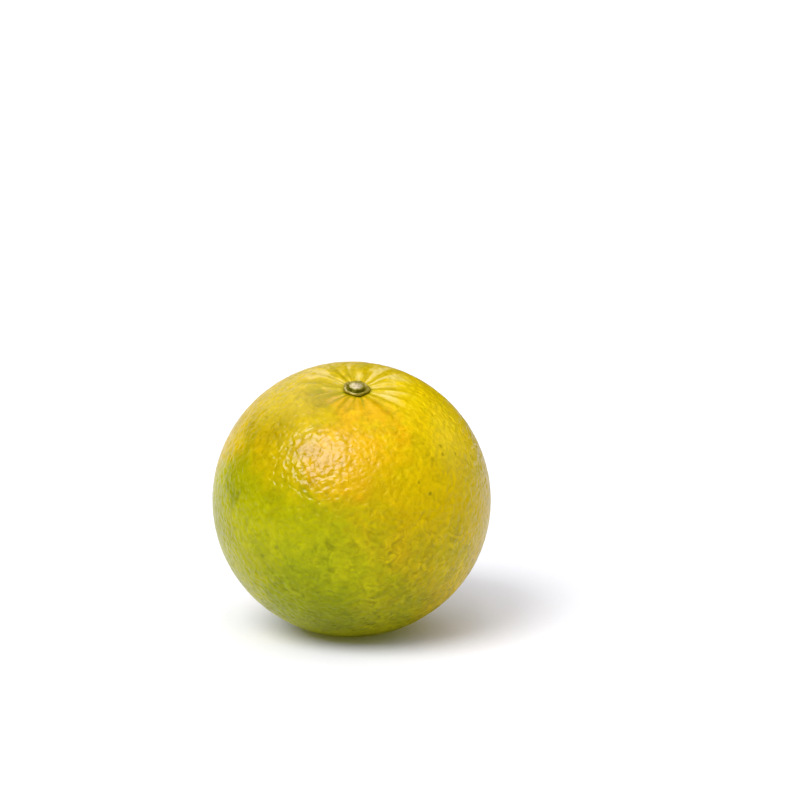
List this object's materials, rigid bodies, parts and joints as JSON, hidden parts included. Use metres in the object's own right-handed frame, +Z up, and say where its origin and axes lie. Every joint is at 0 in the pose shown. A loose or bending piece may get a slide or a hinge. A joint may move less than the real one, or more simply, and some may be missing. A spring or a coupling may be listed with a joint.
{
  "type": "sweet lime",
  "caption": "Whole round sweet lime with a pitted yellow-green peel, creases round its dry stem button, and a small flat spot to rest on.",
  "frame": {"origin": "on the surface that the fruit rests on, under the middle of its box", "axes": "+Z up, -Y to the front, which the stem end leans towards, +X to the right seen from the front"},
  "size_m": [0.0719, 0.0719, 0.0703],
  "materials": {
    "peel": "satin",
    "dry_stem": "matte"
  },
  "bodies": {
    "root": {"fruit": "peel", "stem_button": "dry_stem"}
  },
  "joints": []
}
